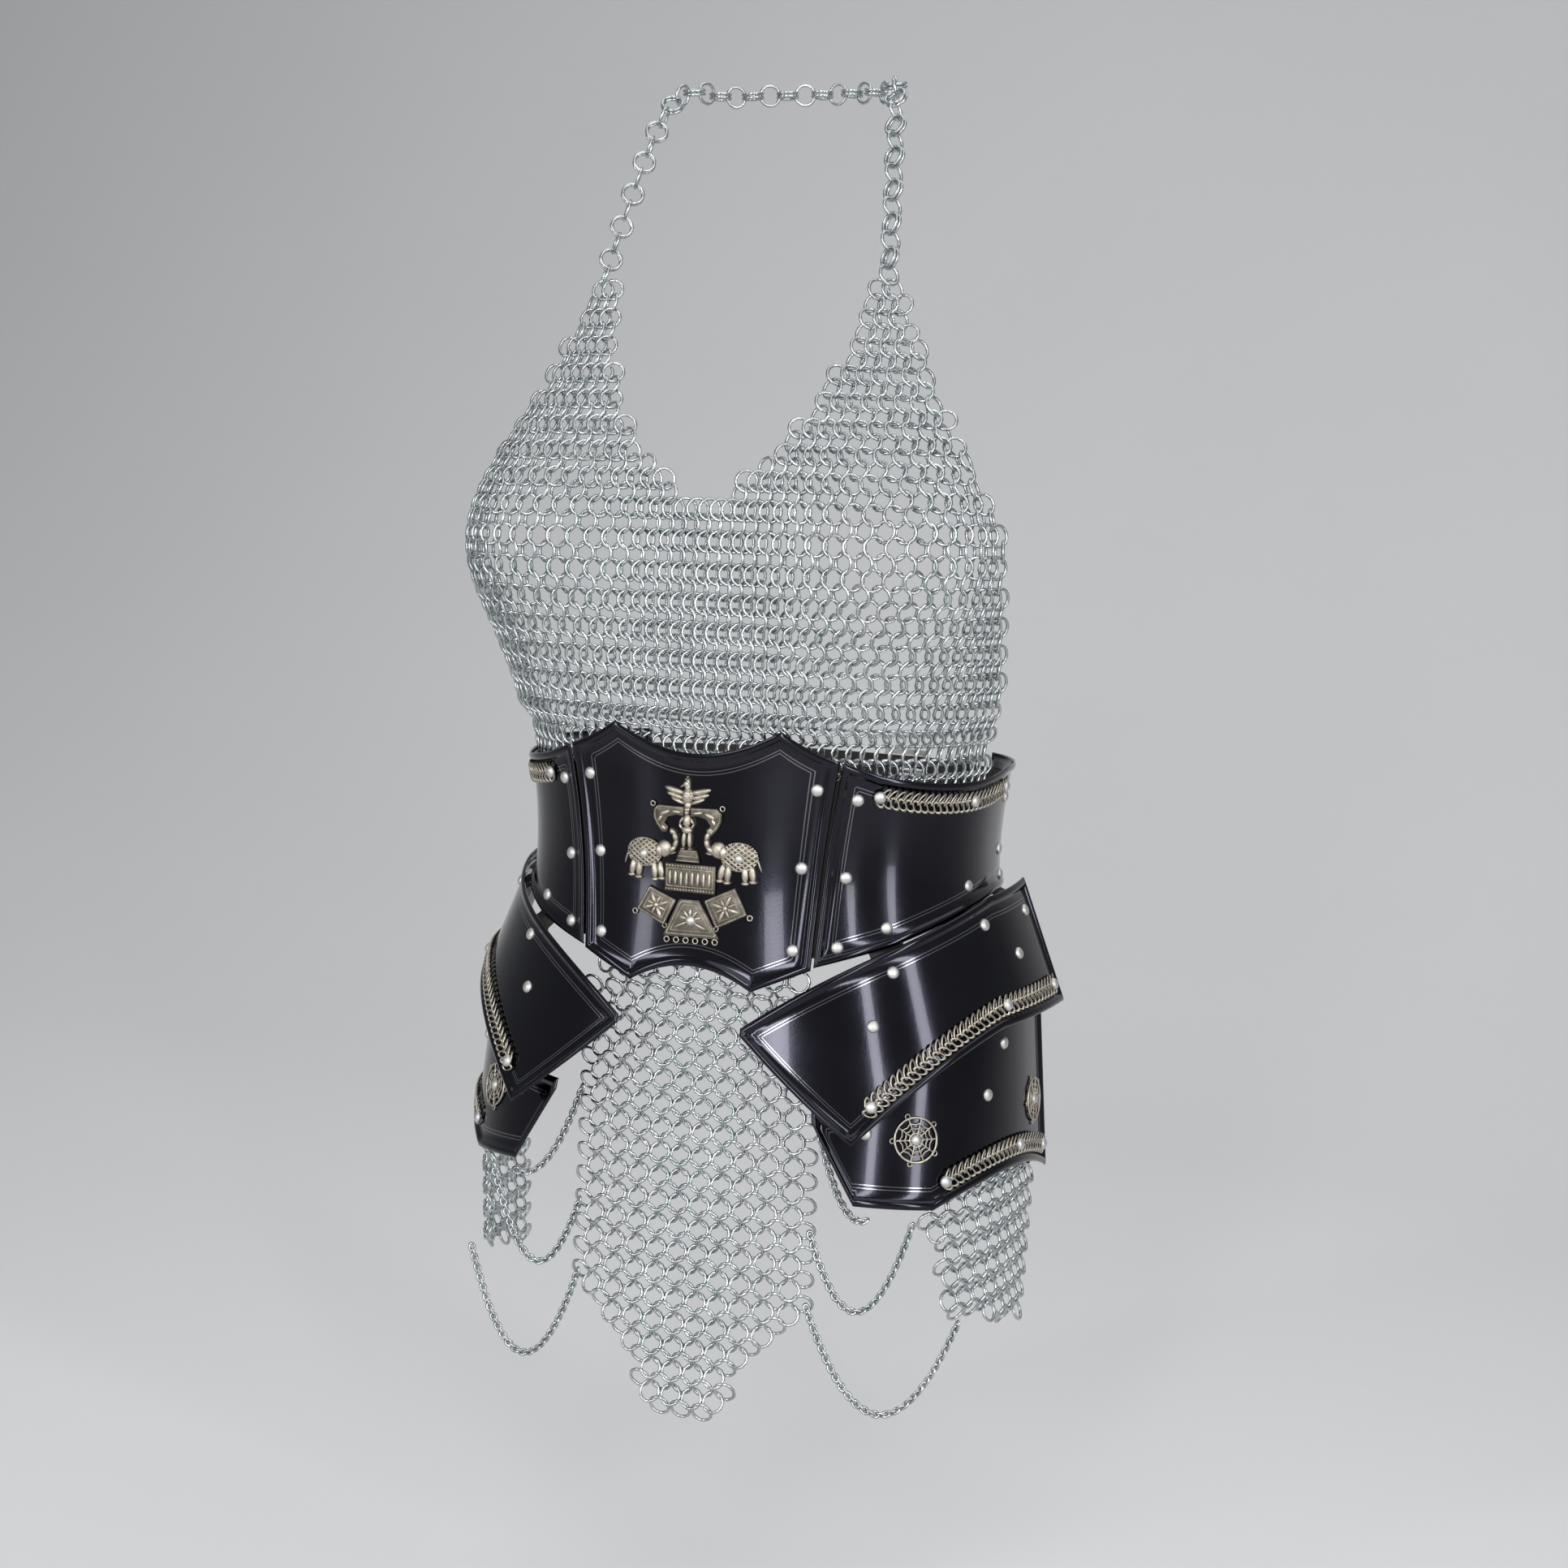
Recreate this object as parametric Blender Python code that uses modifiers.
"""Chainmail and plate cuirass: a mail halter top, a riveted waist belt, tassets, mail apron and hip mail.

Units are metres and +Z is up. The wearer faces -Y, and +X is the wearer's left. The origin lies on the
torso's axis, in the waist opening, a little below the belt's top edge. Every plate, leather and mail panel
is a sheet ruled between two outline edges on a smooth wall round the wearer, and then given its thickness.
A place on a sheet is written as two shares: how far along its edges, and how far up from the lower edge.
"""
import math

import bmesh
import bpy
from mathutils import Matrix, Vector

# Torso that carries the mail top and the belt: height, half width and half depth of each station
HIP_Z, HIP_WIDTH, HIP_DEPTH = -0.120, 0.1472, 0.1135
WAIST_Z, WAIST_WIDTH, WAIST_DEPTH = -0.035, 0.1342, 0.1112
RIB_Z, RIB_WIDTH, RIB_DEPTH = 0.080, 0.1470, 0.1157
ARMPIT_Z, ARMPIT_WIDTH, ARMPIT_DEPTH = 0.180, 0.1500, 0.1107
COLLAR_Z, COLLAR_WIDTH, COLLAR_DEPTH = 0.280, 0.1448, 0.0770
TORSO_POWER = 2.3
BUST_ANGLE, BUST_SPREAD = 47.9, 24.1
BUST_Z, BUST_HEIGHT, BUST_RISE = 0.1366, 0.0674, 0.0400

# Flared walls that carry the tassets, the hip mail and the apron, measured at FLARE_Z
FLARE_Z = -0.080
UPPER_WIDTH, UPPER_DEPTH, UPPER_BACK = 0.1597, 0.1467, 0.030
UPPER_SIDE_FLARE, UPPER_FRONT_FLARE = 0.40, 0.24
LOWER_WIDTH, LOWER_DEPTH, LOWER_BACK = 0.1568, 0.1180, 0.010
LOWER_SIDE_FLARE, LOWER_FRONT_FLARE, LOWER_POWER = 0.08, 0.20, 2.5
HIP_MAIL_WIDTH, HIP_MAIL_DEPTH, HIP_MAIL_FLARE = 0.1673, 0.1412, -0.035
APRON_WIDTH, APRON_DEPTH, APRON_FLARE = 0.160, 0.1016, 0.020
YOKE_WIDTH, YOKE_DEPTH, YOKE_FLARE = 0.1380, 0.1056, -0.180

# Thicknesses, and the gap between touching pieces
PLATE = 0.0012
LEATHER = 0.0025
MAIL = 0.0030
TRIM = 0.0028
SEAT = 0.0003

# Raised rim along every plate edge
RIM_WIDTH, RIM_FALL, RIM_RISE = 0.0032, 0.0026, 0.0018

# Centre plate, angles in degrees from the front
CENTRE_TOP_ANGLE, CENTRE_TOP_Z = 37.3, 0.0268
PEAK_ANGLE, PEAK_Z, DIP_DEPTH = 23.2, 0.0413, 0.0147
CENTRE_LOW_ANGLE, CENTRE_LOW_Z = 32.6, -0.0865
TIP_ANGLE, TIP_Z, ARCH_RISE = 17.6, -0.1000, 0.0110
SHOULDER_SAG = 0.0015
CENTRE_HIGH_SHARES = (0.0, 0.19, 0.81, 1.0)
CENTRE_LOW_SHARES = (0.0, 0.22, 0.78, 1.0)
CENTRE_RIVET_SHARES = ((0.945, 0.839), (0.926, 0.485), (0.926, 0.121))

# Side plates
SIDE_TOP_ANGLE, SIDE_TOP_Z = 37.95, 0.0260
SIDE_STEP_ANGLE, SIDE_STEP_Z = 47.0, 0.0195
SIDE_LOW_ANGLE, SIDE_LOW_Z = 33.25, -0.0850
SIDE_HIP_ANGLE, SIDE_HIP_Z = 52.5, -0.0727
SIDE_MID_ANGLE, SIDE_MID_TOP_Z, SIDE_MID_LOW_Z = 92.0, 0.0200, -0.0520
SIDE_BACK_ANGLE = 125.0
SIDE_TOP_SAG, SIDE_LOW_SAG = 0.0050, 0.0030
SIDE_HIGH_SHARES = (0.0, 0.11, 0.64, 1.0)
SIDE_LOW_SHARES = (0.0, 0.22, 0.64, 1.0)
SIDE_RIVET_SHARES = ((0.060, 0.840), (0.062, 0.436), (0.061, 0.075), (0.195, 0.119), (0.467, 0.181),
                     (0.738, 0.100), (0.700, 0.319), (0.700, 0.736))
BELT_TRIM_SHARES = (0.10, 0.655)

# Upper tassets
UT_TIP_ANGLE, UT_TIP_Z, UT_TIP_HEIGHT = 12.9, -0.1175, 0.0040
UT_SHOULDER_ANGLE, UT_SHOULDER_Z = 42.5, -0.0735
UT_HIP_ANGLE, UT_HIP_Z = 68.8, -0.0505
UT_BACK_ANGLE, UT_BACK_TOP_Z, UT_BACK_LOW_Z = 88.0, -0.0455, -0.1140
UT_CORNER_ANGLE, UT_CORNER_Z = 33.0, -0.1740
UT_EDGE_ANGLE, UT_EDGE_Z = 64.0, -0.1180
UT_TOP_SAG, UT_SHOULDER_SAG, UT_EDGE_SAG, UT_BACK_SAG = 0.0035, 0.0015, 0.0080, 0.0010
UT_HIGH_SHARES = (0.0, 0.39, 0.74, 1.0)
UT_LOW_SHARES = (0.0, 0.27, 0.68, 1.0)
UT_RIVET_SHARES = ((0.386, 0.850), (0.695, 0.819), (0.939, 0.773), (0.328, 0.589), (0.820, 0.497))
UT_TRIM_SHARES = (0.295, 0.975)
UT_HINGE_ANGLE, UT_HINGE_Z = 61.8, -0.0620

# Lower tassets
LT_FRONT_ANGLE, LT_FRONT_TOP_Z, LT_FRONT_LOW_Z = 30.5, -0.1590, -0.1650
LT_CORNER_ANGLE, LT_CORNER_Z, LT_CORNER_TOP_Z = 38.2, -0.2075, -0.1570
LT_HEEL_ANGLE, LT_HEEL_Z, LT_HEEL_TOP_Z = 53.4, -0.2115, -0.1235
LT_BACK_ANGLE, LT_BACK_Z, LT_BACK_TOP_Z = 95.0, -0.2110, -0.1030
LT_ARCH_RISE, LT_TOP_SAG = 0.0130, 0.0060
LT_SHARES = (0.0, 0.12, 0.36, 1.0)
LT_RIVET_SHARES = ((0.164, 0.666), (0.677, 0.762), (0.585, 0.502))
LT_TRIM_SHARES = (0.385, 0.975)
LT_HINGE_FRONT_Z, LT_HINGE_REAR_Z = -0.1400, -0.1000
ROSETTE_SHARES = {"front": (0.316, 0.456), "rear": (0.892, 0.356)}

# Mail panels
MAIL_TOP_LOW_Z, MAIL_TOP_SIDE_ANGLE = 0.0, 88.0
MAIL_TUCK, TUCK_TOP_Z, TUCK_LOW_Z = 0.0050, 0.0460, 0.0340
NECK_Z, STRAP_Z, NECKLINE_SAG = 0.1550, 0.2770, 0.0170
STRAP_IN_ANGLE, STRAP_OUT_ANGLE = 47.5, 53.3
ARMHOLE_ANGLE, ARMHOLE_Z = 58.3, 0.1770
MAIL_TOP_SHARES = (0.0, 0.20, 0.26, 0.5, 0.74, 0.80, 1.0)
YOKE_TOP_Z, YOKE_LOW_Z, YOKE_TOP_ANGLE, YOKE_LOW_ANGLE = -0.0710, -0.1030, 25.0, 33.0
APRON_TOP_Z, APRON_CORNER_Z, APRON_TIP_Z = -0.1036, -0.2740, -0.3400
APRON_TOP_ANGLE, APRON_CORNER_ANGLE, APRON_TIP_ANGLE = 35.6, 34.0, 9.0
APRON_LOW_SHARES = (0.0, 0.38, 0.62, 1.0)
HIP_MAIL_TOP_Z, HIP_MAIL_TOP_ANGLE = -0.1860, 50.5
HIP_MAIL_BACK_ANGLE, HIP_MAIL_BACK_Z = 93.0, -0.2990
HIP_MAIL_MID_ANGLE, HIP_MAIL_MID_Z = 79.0, -0.2880
HIP_MAIL_CORNER_ANGLE, HIP_MAIL_CORNER_Z = 60.3, -0.2730
HIP_MAIL_LOW_SHARES = (0.0, 0.55, 1.0)

# Halter chain: ring sizes, and the way that it takes round the neck
RING_INNER, WIRE, LINK_BITE = 0.0100, 0.0016, 0.0002
PAIR_SPACING = 0.0021
NECK_SIDE_X, NECK_SIDE_Y, NECK_SIDE_Z = 0.067, -0.022, 0.381
NECK_BACK_X, NECK_BACK_Y, NECK_BACK_Z = 0.046, 0.022, 0.394
NAPE_Y, NAPE_Z = 0.044, 0.398

# Rivets and trim chain
RIVET_RADIUS, RIVET_HEIGHT = 0.0035, 0.0021
TRIM_WIDTH = 0.0105

# Leathers behind the plates: seam strips, the strip that carries the yoke, and the tassets' hangers
SEAM_REACH, SEAM_TOP_Z, SEAM_LOW_Z = 0.0160, 0.0150, -0.0800
STRIP_TOP_Z, STRIP_LOW_Z, STRIP_ANGLE = -0.0665, -0.0835, 25.0
HANGER_WIDTH, HANGER_LAP = 0.020, 0.018
HANGER_TOP_LAPS, HANGER_BEND_LAPS = 1.9, 0.7
BELT_HANGER_ANGLES = {"front": (50.8, 42.1), "middle": (76.0, 65.4), "rear": (99.5, 83.5)}
TASSET_HANGER_ANGLES = {"front": (38.5, 41.0), "rear": (74.6, 76.0)}

# Drape chains: start as a share of the apron's edge, and the end behind the tasset or the hip mail
DRAPE_WIDTH, DRAPE_TUCK = 0.0045, 0.0070
HIGH_DRAPE_SHARE, HIGH_DRAPE_ANGLE, HIGH_DRAPE_Z, HIGH_DRAPE_SAG = 0.62, 40.9, -0.2160, 0.0165
MID_DRAPE_SHARE, MID_DRAPE_ANGLE, MID_DRAPE_Z, MID_DRAPE_SAG = 0.24, 50.3, -0.2205, 0.0450
LOW_DRAPE_SHARE, LOW_DRAPE_ANGLE, LOW_DRAPE_Z, LOW_DRAPE_SAG = 0.0, 60.3, -0.2755, 0.0560

# Back closure, angles in degrees from the front
REAR_STRAP_WIDTH, STRAP_START_ANGLE = 0.020, 94.0
UPPER_STRAP_Z, LOWER_STRAP_Z = 0.0010, -0.0295
HEEL_ANGLE, FRONT_BAR_ANGLE, BAR_SPAN = 150.0, 163.0, 1.3
STRAP_CLEAR_ANGLE, CHAPE_END_ANGLE, TAIL_END_ANGLE = 8.0, 141.0, 136.0
FRAME_THICKNESS, FRAME_HEIGHT, FRAME_RAIL = 0.0024, 0.0280, 0.0034
PRONG_RADIUS, SLOT_WIDTH = 0.0012, 0.0050
CLIMB_SHARES = ((0.36, 0.05), (0.52, 0.34), (0.74, 0.88), (0.88, 1.0))

# Cast ornament on the centre plate
ORNAMENT_THICKNESS, ORNAMENT_LIFT, BOSS_HEIGHT, ORNAMENT_ANGLE = 0.0018, 0.0008, 0.0024, -1.2
CREST_WIDTH, CREST_HEIGHT, CREST_FOOT_Z = 0.0420, 0.0460, -0.0330
PANEL_WIDTH, PANEL_HEIGHT, PANEL_FOOT_Z = 0.0293, 0.0150, -0.0492
ELEPHANT_LENGTH, ELEPHANT_HEIGHT, ELEPHANT_FOOT_Z, ELEPHANT_X = 0.0320, 0.0150, -0.0360, 0.0229
CHARM_SIZE, CHARM_X, CHARM_Z, CHARM_TURN = 0.0165, 0.0200, -0.0567, 25.0
DROP_TOP, DROP_WIDTH, DROP_HEIGHT, DROP_FOOT_Z = 0.0104, 0.0333, 0.0212, -0.0742
DROP_LOOPS, DROP_LOOP_RADIUS = 5, 0.0028
ROSETTE_RADIUS, ROSETTE_THICKNESS, WEB_SPOKES, ROSETTE_LOOPS = 0.0135, 0.0016, 6, 5
LOOP_RISE_SHARE = 0.14
SPOKE_SHARES = (0.14, 0.5, 0.86)
WEB_SHARES = ((0.42, 0.86),)

# Outlines of the cast pieces: shares of half the width across, and of the height up from the foot
SQUARE_SHARES = ((-1.0, 0.0), (1.0, 0.0), (1.0, 1.0), (-1.0, 1.0))
CREST_SIDE_SHARES = ((0.30, 0.0), (0.28, 0.12), (0.14, 0.15), (0.12, 0.34), (0.17, 0.44), (0.11, 0.54),
                     (0.62, 0.56), (0.78, 0.51), (0.76, 0.40), (0.58, 0.36), (0.60, 0.25), (0.85, 0.27),
                     (1.0, 0.42), (0.99, 0.60), (0.75, 0.68), (0.22, 0.66), (0.20, 0.71), (0.34, 0.76),
                     (0.58, 0.87), (0.20, 0.83), (0.12, 0.90), (0.12, 0.96))
CREST_TOP_SHARE = (0.0, 1.0)
CREST_BOSS_SHARES = ((0.0, 0.24, 0.09, 0.09), (0.0, 0.46, 0.10, 0.08), (0.0, 0.60, 0.07, 0.035),
                     (0.0, 0.755, 0.13, 0.07), (0.0, 0.92, 0.08, 0.04), (0.88, 0.50, 0.09, 0.10),
                     (-0.88, 0.50, 0.09, 0.10))
ELEPHANT_SHARES = ((-0.80, 0.0), (-0.56, 0.0), (-0.52, 0.28), (-0.22, 0.28), (-0.16, 0.0), (0.10, 0.0),
                   (0.14, 0.30), (0.30, 0.40), (0.50, 0.46), (0.78, 0.62), (0.80, 0.84), (1.0, 0.92),
                   (0.98, 1.0), (0.70, 0.97), (0.62, 0.74), (0.44, 0.92), (0.20, 0.90), (-0.10, 0.82),
                   (-0.45, 0.84), (-0.72, 0.76), (-0.86, 0.60), (-0.96, 0.70), (-1.0, 0.58), (-0.88, 0.42),
                   (-0.84, 0.20))
ELEPHANT_BOSS_SHARES = ((-0.34, 0.54, 0.38, 0.24), (0.30, 0.66, 0.20, 0.20))
FLUTES, FLUTE_REACH_SHARE, FLUTE_SHARES = 8, 0.8, (0.5, 0.09, 0.36)
CHARM_BOSS_SHARES = ((0.0, 0.5, 0.5, 0.25),)

# Colours: base colour, metallic, roughness
STEEL_RING = ((0.80, 0.83, 0.84), 1.0, 0.25)
BLACK_STEEL = ((0.030, 0.030, 0.045), 1.0, 0.22)
ANTIQUE = ((0.62, 0.58, 0.50), 1.0, 0.38)
BUCKLE_METAL = ((0.70, 0.69, 0.66), 1.0, 0.40)
LEATHER_BLACK = ((0.020, 0.018, 0.017), 0.0, 0.60)

SIDES = {"right": -1, "left": 1}
UNDER_PLATE = -PLATE - SEAT


def material(name, look):
    """Return the Principled material of one piece."""
    colour, metallic, roughness = look
    made = bpy.data.materials.new(name)
    made.use_nodes = True
    shader = made.node_tree.nodes["Principled BSDF"]
    shader.inputs["Base Color"].default_value = (*colour, 1.0)
    shader.inputs["Metallic"].default_value = metallic
    shader.inputs["Roughness"].default_value = roughness
    made.diffuse_color = (*colour, 1.0)
    return made


def new_collection(name):
    """Return a collection linked to the scene."""
    made = bpy.data.collections.new(name)
    bpy.context.scene.collection.children.link(made)
    return made


def hang_from(made, mesh, pivot):
    """Parent an object to its joint's empty, with the mesh left where it is."""
    if pivot is not None:
        mesh.transform(Matrix.Translation(-Vector(pivot.location)))
        made.parent = pivot


def add_object(name, mesh, look, pivot=None):
    """Link a mesh as a named object, smooth where round, parented to its joint's empty if it has one."""
    made = bpy.data.objects.new(name, mesh)
    PARTS.objects.link(made)
    mesh.materials.clear()
    mesh.materials.append(material(name, look))
    mesh.shade_smooth()
    mesh.set_sharp_from_angle(angle=math.radians(40.0))
    hang_from(made, mesh, pivot)
    return made


def unite(made, mesh, pivot=None):
    """Join a mesh to an object with a Boolean union."""
    tool = bpy.data.objects.new(f"{made.name}_fused", mesh)
    TOOLS.objects.link(tool)
    tool.hide_render = True
    tool.display_type = "WIRE"
    hang_from(tool, mesh, pivot)
    fused = made.modifiers.new("fused", "BOOLEAN")
    fused.operation = "UNION"
    fused.solver = "EXACT"
    fused.object = tool


def smooth_value(stations, z, column):
    """Interpolate one column of the torso stations with a Hermite curve through all of them."""
    last = len(stations) - 1
    if z <= stations[0][0]:
        return stations[0][column]
    if z >= stations[last][0]:
        return stations[last][column]
    index = max(k for k in range(last) if stations[k][0] <= z)

    def slope(k):
        before, after = max(k - 1, 0), min(k + 1, last)
        return (stations[after][column] - stations[before][column]) / (stations[after][0] - stations[before][0])

    low, high = stations[index], stations[index + 1]
    span = high[0] - low[0]
    t = (z - low[0]) / span
    return ((2 * t ** 3 - 3 * t ** 2 + 1) * low[column] + (t ** 3 - 2 * t ** 2 + t) * span * slope(index)
            + (3 * t ** 2 - 2 * t ** 3) * high[column] + (t ** 3 - t ** 2) * span * slope(index + 1))


def section_radius(width, depth, power, angle):
    """Return the radius of a superellipse at an angle, in radians from the front."""
    across = abs(math.sin(angle)) / width
    along = abs(math.cos(angle)) / depth
    return (across ** power + along ** power) ** (-1.0 / power)


class Wall:
    """A smooth wall round the wearer, addressed by angle from the front (degrees) and height."""

    STEP = 0.05
    back = 0.0

    def radius(self, angle, z):
        """Return the wall's radius at an angle in radians and a height."""
        raise NotImplementedError

    def bare(self, degrees, z):
        """Return the point on the wall itself."""
        angle = math.radians(degrees)
        radius = self.radius(angle, z)
        return Vector((radius * math.sin(angle), self.back - radius * math.cos(angle), z))

    def normal(self, degrees, z):
        """Return the outward normal."""
        rise = math.radians(self.STEP) * WAIST_WIDTH
        around = self.bare(degrees + self.STEP, z) - self.bare(degrees - self.STEP, z)
        upward = self.bare(degrees, z + rise) - self.bare(degrees, z - rise)
        return around.cross(upward).normalized()

    def point(self, degrees, z, lift=0.0):
        """Return a point that stands off the wall by lift."""
        return self.bare(degrees, z) + self.normal(degrees, z) * lift

    def turn(self, degrees, z, length):
        """Return the angle, in degrees, that a length spans round the wall."""
        radius = (self.bare(degrees, z) - Vector((0.0, self.back, z))).length
        return math.degrees(length / radius)


class Torso(Wall):
    """The wearer's torso as the belt and the mail top lie on it."""

    STATIONS = (
        (HIP_Z, HIP_WIDTH, HIP_DEPTH),
        (WAIST_Z, WAIST_WIDTH, WAIST_DEPTH),
        (RIB_Z, RIB_WIDTH, RIB_DEPTH),
        (ARMPIT_Z, ARMPIT_WIDTH, ARMPIT_DEPTH),
        (COLLAR_Z, COLLAR_WIDTH, COLLAR_DEPTH),
    )

    def radius(self, angle, z):
        width = smooth_value(self.STATIONS, z, 1)
        depth = smooth_value(self.STATIONS, z, 2)
        turned = abs(math.degrees(math.atan2(math.sin(angle), math.cos(angle))))
        around = (turned - BUST_ANGLE) / BUST_SPREAD
        upward = (z - BUST_Z) / BUST_HEIGHT
        bust = BUST_RISE * math.exp(-around ** 2 - upward ** 2)
        return section_radius(width, depth, TORSO_POWER, angle) + bust


class MailTorso(Torso):
    """The torso with the mail tucked in behind the belt."""

    def radius(self, angle, z):
        share = (TUCK_TOP_Z - z) / (TUCK_TOP_Z - TUCK_LOW_Z)
        share = min(max(share, 0.0), 1.0)
        return super().radius(angle, z) - MAIL_TUCK * share * share * (3.0 - 2.0 * share)


class Flare(Wall):
    """A wall that widens or narrows steadily downwards from FLARE_Z."""

    def __init__(self, width, depth, back, side_flare, front_flare, power):
        self.width, self.depth, self.back = width, depth, back
        self.side_flare, self.front_flare, self.power = side_flare, front_flare, power

    def radius(self, angle, z):
        drop = FLARE_Z - z
        return section_radius(self.width + self.side_flare * drop, self.depth + self.front_flare * drop,
                              self.power, angle)


TORSO = Torso()
MAIL_TORSO = MailTorso()
UPPER = Flare(UPPER_WIDTH, UPPER_DEPTH, UPPER_BACK, UPPER_SIDE_FLARE, UPPER_FRONT_FLARE, TORSO_POWER)
LOWER = Flare(LOWER_WIDTH, LOWER_DEPTH, LOWER_BACK, LOWER_SIDE_FLARE, LOWER_FRONT_FLARE, LOWER_POWER)
HIP_WALL = Flare(HIP_MAIL_WIDTH, HIP_MAIL_DEPTH, LOWER_BACK, HIP_MAIL_FLARE, HIP_MAIL_FLARE, LOWER_POWER)
APRON_WALL = Flare(APRON_WIDTH, APRON_DEPTH, 0.0, 0.0, APRON_FLARE, TORSO_POWER)
YOKE_WALL = Flare(YOKE_WIDTH, YOKE_DEPTH, 0.0, 0.0, YOKE_FLARE, TORSO_POWER)


def edge(shares, *knots):
    """Return an outline edge as a function of a share from 0 to 1.

    Each knot is (angle, height, bulge), and the bulge bows the span that follows the knot.
    """
    def at(share):
        index = max(k for k in range(len(knots) - 1) if shares[k] <= share or k == 0)
        start, end = knots[index], knots[index + 1]
        t = (share - shares[index]) / (shares[index + 1] - shares[index])
        angle = start[0] + (end[0] - start[0]) * t
        return angle, start[1] + (end[1] - start[1]) * t + start[2] * 4.0 * t * (1.0 - t)
    return at


def level(angle, z, start=None):
    """Return a level edge from start, or from the mirrored angle, to an angle."""
    return edge((0.0, 1.0), (-angle if start is None else start, z, 0.0), (angle, z, 0.0))


def spread(start, end, count):
    """Return count + 1 even values from start to end."""
    return [start + (end - start) * k / count for k in range(count + 1)]


def joined(*runs):
    """Return several runs of shares as one, each starting where the last ended."""
    made = list(runs[0])
    for run in runs[1:]:
        made += run[1:]
    return made


def grid_mesh(name, columns, rows, place, side=1, holes=()):
    """Make an open sheet from a flat grid whose vertices are moved to place(column, row).

    holes lists (column, row) cells that are left open.
    """
    shaped = bmesh.new()
    bmesh.ops.create_grid(shaped, x_segments=columns - 1, y_segments=rows - 1, size=1.0)
    cells = {vert: (round((vert.co.x + 1.0) / 2.0 * (columns - 1)), round((vert.co.y + 1.0) / 2.0 * (rows - 1)))
             for vert in shaped.verts}
    opened = [face for face in shaped.faces
              if (min(cells[v][0] for v in face.verts), min(cells[v][1] for v in face.verts)) in holes]
    bmesh.ops.delete(shaped, geom=opened, context="FACES")
    for vert in shaped.verts:
        vert.co = place(*cells[vert])
        vert.co.x *= side
    if side < 0:
        bmesh.ops.reverse_faces(shaped, faces=shaped.faces)
    made = bpy.data.meshes.new(name)
    shaped.to_mesh(made)
    shaped.free()
    return made


def thicken(made, thickness):
    """Give an open sheet its thickness, inwards from its outer face."""
    solid = made.modifiers.new("thickness", "SOLIDIFY")
    solid.thickness = thickness
    solid.offset = -1.0
    solid.use_rim = True
    return made


class Sheet:
    """A plate, leather or mail panel ruled between a low and a high edge on a wall."""

    def __init__(self, wall, low, high, thickness, lift=0.0):
        self.wall, self.low, self.high = wall, low, high
        self.thickness, self.lift = thickness, lift

    def at(self, along, up):
        """Return the angle and height of a place given as shares."""
        low_angle, low_z = self.low(along)
        high_angle, high_z = self.high(along)
        return low_angle + (high_angle - low_angle) * up, low_z + (high_z - low_z) * up

    def place(self, along, up, lift=0.0):
        """Return a point off the sheet's outer face, at a place given as shares."""
        return self.wall.point(*self.at(along, up), self.lift + lift)

    def height(self, along):
        """Return the sheet's height at a share along it."""
        return (self.place(along, 1.0) - self.place(along, 0.0)).length

    def width(self):
        """Return the length of the sheet's lower edge."""
        points = [self.place(share, 0.0) for share in spread(0.0, 1.0, 16)]
        return sum((second - first).length for first, second in zip(points, points[1:]))

    def edge_height(self, degrees, upper):
        """Return the height of the upper or lower edge at an angle."""
        outline = self.high if upper else self.low
        start, end = 0.0, 1.0
        for _ in range(30):
            middle = (start + end) / 2.0
            if outline(middle)[0] < degrees:
                start = middle
            else:
                end = middle
        return outline((start + end) / 2.0)[1]

    def make(self, name, shares, heights, look, side=1, rim=False, pivot=None):
        """Build the sheet's object. heights is a count of rows, or the shares up each column."""
        if isinstance(heights, int):
            heights = [spread(0.0, 1.0, heights)] * len(shares)
        columns, lines = len(shares), len(heights[0])

        def place(column, row):
            steps_in = min(column, row, columns - 1 - column, lines - 1 - row)
            rise = RIM_RISE if rim and steps_in < 2 else 0.0
            return self.place(shares[column], heights[column][row], rise)

        mesh = grid_mesh(name, columns, lines, place, side)
        return thicken(add_object(name, mesh, look, pivot), self.thickness)


def rim_lines(length, inner):
    """Return shares along a length with the raised rim's own lines at both ends."""
    width = min(RIM_WIDTH / length, 0.16)
    fall = min((RIM_WIDTH + RIM_FALL) / length, 0.3)
    kept = [share for share in inner if fall < share < 1.0 - fall]
    return [0.0, width, fall] + kept + [1.0 - fall, 1.0 - width, 1.0]


def rim_rows(sheet, shares, rows):
    """Return the shares up each column of a rimmed plate, squeezed where the plate is low."""
    heights = []
    for share in shares:
        length = sheet.height(share)
        width = min(RIM_WIDTH / length, 0.16)
        fall = min((RIM_WIDTH + RIM_FALL) / length, 0.3)
        heights.append([0.0, width] + spread(fall, 1.0 - fall, rows) + [1.0 - width, 1.0])
    return heights


def transformed(pieces):
    """Return one mesh that holds several closed meshes, each moved by its matrix."""
    shaped = bmesh.new()
    for mesh, matrix in pieces:
        before = set(shaped.verts)
        shaped.from_mesh(mesh)
        fresh = [vert for vert in shaped.verts if vert not in before]
        bmesh.ops.transform(shaped, matrix=matrix, verts=fresh)
    made = bpy.data.meshes.new("group")
    shaped.to_mesh(made)
    shaped.free()
    return made


def seat(wall, degrees, z, lift, side=1):
    """Return a frame on a wall: local Z outwards and local Y up along the wall."""
    origin = wall.point(degrees, z, lift)
    outward = wall.normal(degrees, z)
    upward = (Vector((0.0, 0.0, 1.0)) - outward * outward.z).normalized()
    if side < 0:
        origin.x, outward.x, upward.x = -origin.x, -outward.x, -upward.x
    across = upward.cross(outward)
    return Matrix.Translation(origin) @ Matrix((across, upward, outward)).transposed().to_4x4()


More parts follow.
